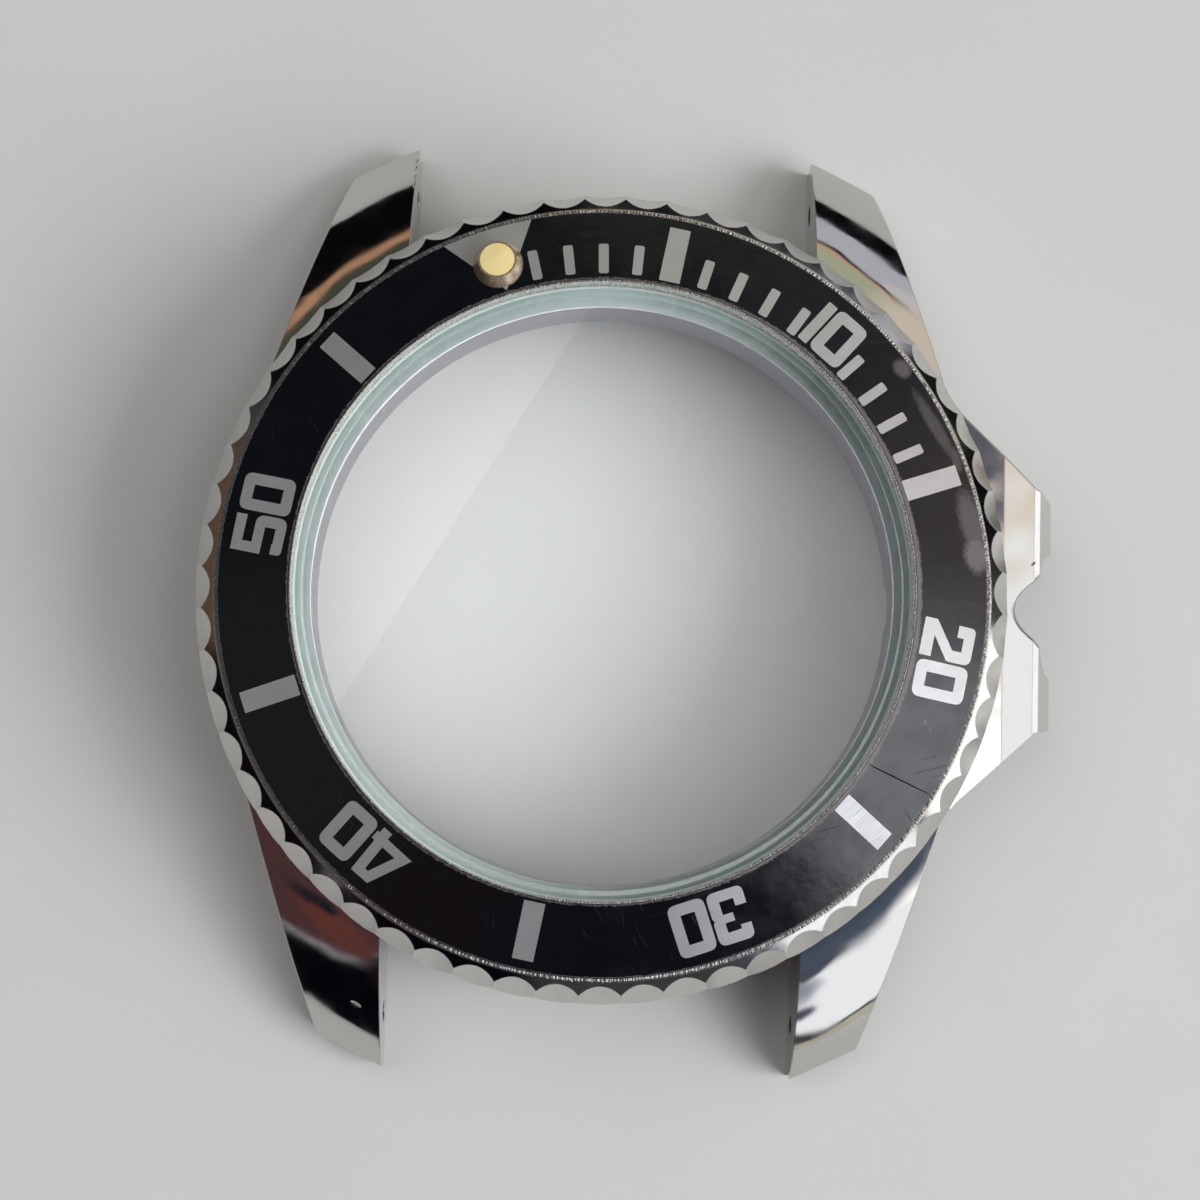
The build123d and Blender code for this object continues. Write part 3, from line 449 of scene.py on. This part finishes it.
clear_anodised, tree, shader = surface("aluminium, brushed, under clear oxide", "#c9c8c6", 0.82, 0.34)
place = add(tree, "ShaderNodeTexCoord").outputs["Object"]
brush_place = add(tree, "ShaderNodeMapping", {"Vector": place, "Rotation": (0.0, 0.0, math.radians(38)),
                                              "Scale": (1.5 * MM, 0.04 * MM, 1.5 * MM)}, vector_type="TEXTURE")
brush = add(tree, "ShaderNodeTexNoise", {"Vector": brush_place.outputs[0], "Scale": 1.0, "Detail": 4.0})
tarnish = add(tree, "ShaderNodeTexNoise", {"Vector": place, "Scale": 1 / (2.2 * MM), "Detail": 3.0})
tone = add(tree, "ShaderNodeMix", {0: tarnish.outputs["Fac"], 6: linear("#eef1f3"), 7: linear("#d8d3d4")},
           data_type="RGBA")
tree.links.new(tone.outputs[2], shader.inputs["Base Color"])
rough = add(tree, "ShaderNodeMapRange", {0: brush.outputs["Fac"], 1: 0.3, 2: 0.7, 3: 0.28, 4: 0.4})
tree.links.new(rough.outputs[0], shader.inputs["Roughness"])
brush_bump = add(tree, "ShaderNodeBump", {"Height": brush.outputs["Fac"], "Distance": 0.006 * MM})
tree.links.new(brush_bump.outputs[0], shader.inputs["Normal"])


def rounded(points, reach=0.0):
    """An outline in mm. A point given as (x, y, reach) becomes an arc of five steps, which starts that far off."""
    outline = []
    for k, point in enumerate(points):
        here = Vector(point[:2])
        soft = point[2] if len(point) > 2 else reach
        if not soft:
            outline.append(here)
            continue
        before = (Vector(points[k - 1][:2]) - here).normalized()
        after = (Vector(points[(k + 1) % len(points)][:2]) - here).normalized()
        for step in range(6):
            t = step / 5
            start, end = here + before * soft, here + after * soft
            outline.append((1 - t) ** 2 * start + 2 * t * (1 - t) * here + t ** 2 * end)
    return outline


def bar(width, foot, top, reach):
    """A bar as wide as given, centred on its minute."""
    return rounded([(-width / 2, foot), (width / 2, foot), (width / 2, top), (-width / 2, top)], reach)


# Digits in mm from the numeral's foot, drawn one by one: width, then the outline and its counters
DIGITS = {
    "0": (1.86, [[(0, 0, 0.42), (1.86, 0, 0.42), (1.86, 2.62, 0.42), (0, 2.62, 0.42)],
                 [(0.57, 0.57), (0.57, 2.05), (1.29, 2.05), (1.29, 0.57)]]),
    "1": (0.55, [[(0, 0, 0.08), (0.55, 0, 0.08), (0.55, 2.5, 0.08), (0, 2.5, 0.08)]]),
    "2": (1.95, [[(0, 0), (1.88, 0), (1.88, 0.6), (0.8, 0.6), (1.95, 1.42, 0.1), (1.95, 2.62, 0.4), (0.08, 2.62, 0.3),
                  (0.08, 1.74), (0.68, 1.74), (0.68, 2.08), (1.37, 2.08), (1.37, 1.62), (0, 0.62)]]),
    "3": (1.84, [[(0, 0, 0.35), (1.84, 0, 0.4), (1.84, 1.24, 0.08), (1.74, 1.36), (1.84, 1.48, 0.08),
                  (1.84, 2.62, 0.4), (0.05, 2.62, 0.35), (0.05, 1.86), (0.58, 1.86), (0.58, 2.06), (1.28, 2.06),
                  (1.28, 1.58), (0.78, 1.58), (0.78, 1.17), (1.28, 1.17), (1.28, 0.52), (0.56, 0.52), (0.56, 0.92),
                  (0, 0.92)]]),
    "4": (2.23, [[(1.58, 0), (2.1, 0), (2.1, 0.33), (2.23, 0.33), (2.23, 0.78), (2.05, 0.78), (1.97, 2.58),
                  (0.92, 2.56), (0, 0.33), (1.58, 0.33)],
                 [(0.73, 0.78), (1.28, 2.1), (1.47, 2.1), (1.53, 0.78)]]),
    "5": (1.92, [[(0.08, 0, 0.25), (1.92, 0, 0.45), (1.92, 1.58, 0.45), (0.52, 1.58), (0.52, 2.06), (1.82, 2.06),
                  (1.82, 2.6), (0, 2.56), (0, 1.06), (1.36, 1.06), (1.36, 0.52), (0.6, 0.52), (0.6, 0.56),
                  (0.08, 0.56)]]),
}


def lay_on_insert(name, marks):
    """Lays flat outlines on the cone. Each mark is a minute and its loops, x along the minute track."""
    mesh = bmesh.new()
    for minute, loops in marks:
        flat = bmesh.new()
        corners = [flat.verts.new((p.x, p.y, 0)) for loop in loops for p in loop]
        for triangle in tessellate_polygon([[Vector((p.x, p.y, 0)) for p in loop] for loop in loops]):
            flat.faces.new([corners[k] for k in triangle])
        # The cone curves along the track only, so cuts across the track let the mark follow it
        reach = max(abs(v.co.x) for v in corners)
        cuts = int(reach / TRACK_STEP) + 1
        for k in range(-cuts, cuts + 1):
            bmesh.ops.bisect_plane(flat, geom=flat.verts[:] + flat.edges[:] + flat.faces[:],
                                   plane_co=(k * TRACK_STEP, 0, 0), plane_no=(1, 0, 0), dist=1e-5)
        angle = ZERO - math.radians(6 * minute)
        out = Vector((math.cos(angle), math.sin(angle), 0))
        along = Vector((math.sin(angle), -math.cos(angle), 0))
        for v in flat.verts:
            point = out * v.co.y + along * v.co.x
            point.z = INSERT_RIM_HEIGHT + INSERT_SLOPE * (INSERT_RIM - point.length) + MARK_LIFT
            v.co = point * MM
        bmesh.ops.recalc_face_normals(flat, faces=flat.faces)
        if sum(f.normal.z for f in flat.faces) < 0:
            bmesh.ops.reverse_faces(flat, faces=flat.faces)
        part = bpy.data.meshes.new("part")
        flat.to_mesh(part)
        mesh.from_mesh(part)
        bpy.data.meshes.remove(part)
        flat.free()
    data = bpy.data.meshes.new(name)
    mesh.to_mesh(data)
    mesh.free()
    data.materials.append(clear_anodised)
    piece = bpy.data.objects.new(name, data)
    scene.collection.objects.link(piece)
    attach(piece, "bezel")


inner, outer_end, width = SHORT_BAR
lay_on_insert("minute_bars", [(m, [bar(width, inner, outer_end, 0.12)]) for m in range(1, 15) if m % 5])
inner, outer_end, width = LONG_BAR
lay_on_insert("five_minute_bars", [(m, [bar(width, inner, outer_end, 0.03)]) for m in (5, 15, 25, 35, 45, 55)])
numerals = []
for number in (10, 20, 30, 40, 50):
    digits = [DIGITS[d] for d in str(number)]
    across = sum(d[0] for d in digits) + DIGIT_GAP
    start = -across / 2
    for wide, loops in digits:
        numerals.append((number, [[Vector((p.x + start, p.y + NUMERAL_FOOT)) for p in rounded(loop)]
                                  for loop in loops]))
        start += wide + DIGIT_GAP
lay_on_insert("numerals", numerals)
# The triangle ends on an arc that follows the rim; the pip covers its middle
lay_on_insert("zero_triangle", [(0, [[Vector((-2.3, 18.82)), Vector((0, 15.62)), Vector((2.3, 18.82)),
                                      Vector((1.15, 18.93)), Vector((0, 18.96)), Vector((-1.15, 18.93))]])])


# Pip
# A cup turned from brass and plated rose gold, riveted through the insert at the zero.
# Its luminous paint has aged to a warm yellow with a dull, slightly grainy skin.

plated_brass, tree, shader = surface("brass, turned and plated rose gold", "#e0bb98", 0.85, 0.16)
place = add(tree, "ShaderNodeTexCoord").outputs["Object"]
plating = add(tree, "ShaderNodeTexNoise", {"Vector": place, "Scale": 1 / (0.35 * MM), "Detail": 5.0,
                                           "Roughness": 0.65})
tone = add(tree, "ShaderNodeMix", {0: plating.outputs["Fac"], 6: linear("#f7ead2"), 7: linear("#e2bf9f")},
           data_type="RGBA")
tree.links.new(tone.outputs[2], shader.inputs["Base Color"])
rough = add(tree, "ShaderNodeMapRange", {0: plating.outputs["Fac"], 1: 0.35, 2: 0.7, 3: 0.16, 4: 0.34})
tree.links.new(rough.outputs[0], shader.inputs["Roughness"])
plating_bump = add(tree, "ShaderNodeBump", {"Height": plating.outputs["Fac"], "Distance": 0.012 * MM})
tree.links.new(plating_bump.outputs[0], shader.inputs["Normal"])
dress("pip_cup", plated_brass)

aged_paint, tree, shader = surface("luminous paint, aged", "#ead98c", 0.0, 0.55)
place = add(tree, "ShaderNodeTexCoord").outputs["Object"]
ageing = add(tree, "ShaderNodeTexNoise", {"Vector": place, "Scale": 1 / (0.5 * MM), "Detail": 5.0})
tone = add(tree, "ShaderNodeMix", {0: ageing.outputs["Fac"], 6: linear("#f8ebb4"), 7: linear("#efd488")},
           data_type="RGBA")
tree.links.new(tone.outputs[2], shader.inputs["Base Color"])
paint_bump = add(tree, "ShaderNodeBump", {"Height": ageing.outputs["Fac"], "Distance": 0.02 * MM})
tree.links.new(paint_bump.outputs[0], shader.inputs["Normal"])
dress("pip_lume", aged_paint)


# Table
# The case stands on the tips of its lugs on a plain pale board.
# The board is matte, with a faint unevenness so that the light falls off softly.

BOARD_RADIUS = 3.0          # m
BOARD_GAP = 0.01            # mm, between the board and the lug tips, so that no faces coincide

board_paint, tree, shader = surface("board, painted matte", "#d4d4d3", 0.0, 0.85)
place = add(tree, "ShaderNodeTexCoord").outputs["Object"]
unevenness = add(tree, "ShaderNodeTexNoise", {"Vector": place, "Scale": 1 / (14 * MM), "Detail": 3.0})
tone = add(tree, "ShaderNodeMix", {0: unevenness.outputs["Fac"], 6: linear("#d8d8d7"), 7: linear("#d1d1d0")},
           data_type="RGBA")
tree.links.new(tone.outputs[2], shader.inputs["Base Color"])
board_mesh = bmesh.new()
bmesh.ops.create_circle(board_mesh, cap_ends=True, segments=96, radius=BOARD_RADIUS)
board_data = bpy.data.meshes.new("board")
board_mesh.to_mesh(board_data)
board_mesh.free()
board_data.materials.append(board_paint)
board = bpy.data.objects.new("board", board_data)
board.location.z = cad_box[0][2] - BOARD_GAP * MM
scene.collection.objects.link(board)


# Light
# A soft lamp stands to the lower right, as the window does, and a wide one over the upper left softens its shadow.
# Polished steel doesn't show the lamps. It shows the room's painted walls, which give it its bands:
# white to the lower right, grey, peach and brown elsewhere, under a dark ceiling.

def toward(azimuth, elevation):
    """Unit vector; azimuth from the crown's side, counter-clockwise, in degrees."""
    a, e = math.radians(azimuth), math.radians(elevation)
    return Vector((math.cos(a) * math.cos(e), math.sin(a) * math.cos(e), math.sin(e)))


room = bpy.data.worlds.new("room")
scene.world = room
room.use_nodes = True
tree = room.node_tree
direction = add(tree, "ShaderNodeTexCoord").outputs["Generated"]
uneven = add(tree, "ShaderNodeTexNoise", {"Vector": direction, "Scale": 3.0, "Detail": 2.0}).outputs["Color"]
stray = add(tree, "ShaderNodeVectorMath", {0: uneven, 1: (0.5, 0.5, 0.5)}, operation="SUBTRACT").outputs[0]
strayed = add(tree, "ShaderNodeVectorMath", {0: stray, 1: (0.12, 0.12, 0.12), 2: direction}, operation="MULTIPLY_ADD")
bent = add(tree, "ShaderNodeVectorMath", {0: strayed.outputs[0]}, operation="NORMALIZE").outputs[0]
light = Vector((0.055, 0.056, 0.06))     # the room where nothing is painted, a dim grey
# Soft areas of the walls, each painted over those before it:
# azimuth and elevation, half angles of its even core and of its edge in degrees, colour, strength
for azimuth, elevation, core, edge, colour, strength in (
        # left wall, and the dark corner behind the upper left lug with its peach stripe
        (180, 16, 22, 30, "#9a7d68", 0.35),
        (120, 4, 24, 30, "#0a0b0e", 1.0),
        (118, 60, 34.5, 36.5, "#efb994", 0.65),
        (118, 60, 31, 33, "#787a6c", 0.4),
        # right wall: what the cusps, the lower right lug and the guards show
        (25, 26, 16, 26, "#96908c", 0.3),
        (16, 9, 12, 16, "#0c0c10", 1.0),
        (-20, 41, 20, 24, "#ffffff", 1.7),
        (-46, 18, 15, 17, "#f6f9ff", 1.4),
        (-62, 27, 3, 8, "#b9bfd0", 0.8),
        (-50, 60, 23, 30, "#5a6478", 0.9),
        (-50, 60, 14, 20, "#3a4455", 1.0),
        (-61, 17, 2.5, 4.5, "#4a4468", 0.7),
        (-55, -60, 64.9, 65.4, "#35504f", 0.8),
        (-55, -60, 63.8, 64.3, "#dcd9c6", 0.9),
        (-12, 18, 12, 15, "#ffffff", 1.6),
        # upper right lug: grey, a dark line, a peach line and a green strip, black towards its tip
        (62, 17, 18, 20, "#b4b6c0", 1.3),
        (44, 22, 8, 11, "#d9d4d6", 1.1),
        (56, 50, 27, 27.8, "#101820", 1.0),
        (56, 50, 25.6, 26.3, "#e8bfa4", 0.9),
        (56, 50, 24.2, 25, "#c2c8ab", 0.95),
        (43, 30, 6, 12, "#eadfcf", 1.0),
        (72, -70, 79, 80.5, "#0a0b0e", 1.0),
        (38, 5, 8, 11, "#0b0c10", 1.0),
        # crown guards: the bevels, both tops, and the lighter ends of each top
        (8, 25, 7, 10, "#fbfdff", 1.6),
        (13, 50, 12.5, 16, "#d3c2b4", 1.0),
        (5, 48, 4, 8, "#eef3f6", 1.5),
        (16, 51, 2.5, 6, "#eadccd", 1.3),
        (20, 47, 2, 5, "#dfc4ab", 1.15),
        # lower left lug: black, a grey band, red-brown with a smudge
        (-125, 10, 24, 30, "#07080f", 1.0),
        (-150, 42, 23.5, 26, "#8d898e", 1.0),
        (-115, 32, 5, 9, "#1b1418", 1.0),
        (-148, 42, 20, 22, "#563a3c", 1.0),
        (-130, 37, 3, 8, "#6e4039", 0.95),
        (-137.5, 39.5, 1, 3.5, "#20242c", 1.0),
        (-134, 41.5, 0.8, 3, "#20242c", 1.0),
        (-155, -2, 27, 29, "#0b0b0f", 1.0),
        # ceiling: dark, with the patches that the insert and its marks show
        (0, 90, 32, 35, "#31353f", 1.0),
        (46, 60, 10, 15, "#9c9aa2", 0.75),
        (20, 63, 6, 10, "#80808e", 0.7),
        (30, 56.5, 6, 9, "#e0d0c4", 1.0),
        (6, 66, 6, 8, "#a8a09e", 3.0),
        (-13, 67, 8, 11, "#ccd0d4", 4.8),
        (-132, 68, 7, 13, "#96666a", 0.25),
        (-170, 66, 9, 15, "#9aa39a", 0.4)):
    closeness = add(tree, "ShaderNodeVectorMath", {0: bent, 1: toward(azimuth, elevation)}, operation="DOT_PRODUCT")
    share = add(tree, "ShaderNodeMapRange", {0: closeness.outputs["Value"], 1: math.cos(math.radians(edge)),
                                             2: math.cos(math.radians(core)), 3: 0.0, 4: 1.0},
                interpolation_type="SMOOTHSTEP")
    tint = Vector(linear(colour)[:3]) * strength
    light = add(tree, "ShaderNodeMix", {0: share.outputs[0], 4: light, 5: tint}, data_type="VECTOR").outputs[1]
tree.links.new(light, tree.nodes["Background"].inputs["Color"])

# Name, azimuth and elevation, distance in m, width and height in m, power in W
for name, azimuth, elevation, distance, width, height, power in (
        ("window", -22, 38, 0.5, 0.32, 0.26, 1.65), ("wall", 150, 60, 0.6, 0.5, 0.5, 1.0)):
    lamp_data = bpy.data.lights.new(name, "AREA")
    lamp_data.shape = "RECTANGLE"
    lamp_data.size, lamp_data.size_y = width, height
    lamp_data.energy = power
    lamp = bpy.data.objects.new(name, lamp_data)
    lamp.location = toward(azimuth, elevation) * distance
    lamp.rotation_mode = "QUATERNION"
    lamp.rotation_quaternion = (-lamp.location).to_track_quat("-Z", "Y")
    lamp.visible_glossy = False
    scene.collection.objects.link(lamp)


# Camera
# It hangs 115 mm over the insert's rim, a little towards 6 o'clock, and looks down through a 70 mm lens.
# The tilts are the photograph's: 6.3 degrees about the crown's axis, 0.8 about 12 o'clock, turned by 1.9.

LEVEL = Matrix.Rotation(-0.10942, 3, "X") @ Matrix.Rotation(0.01337, 3, "Y")
LENS_STAND = Vector((-0.142, -0.576, 115.0))     # mm, from the middle of the insert's rim, in the camera's own axes

tilt = LEVEL @ Matrix.Rotation(math.radians(-1.9), 3, "Z")
camera_data = bpy.data.cameras.new("camera")
camera_data.lens = 69.96
camera_data.sensor_width = 36.0
camera_data.clip_start, camera_data.clip_end = 0.005, 20.0
camera = bpy.data.objects.new("camera", camera_data)
stand = tilt.transposed() @ (LENS_STAND * MM) + Vector((0, 0, INSERT_RIM_HEIGHT * MM))
camera.matrix_world = Matrix.Translation(stand) @ tilt.transposed().to_4x4()
scene.collection.objects.link(camera)
scene.camera = camera
scene.view_settings.view_transform = "Standard"
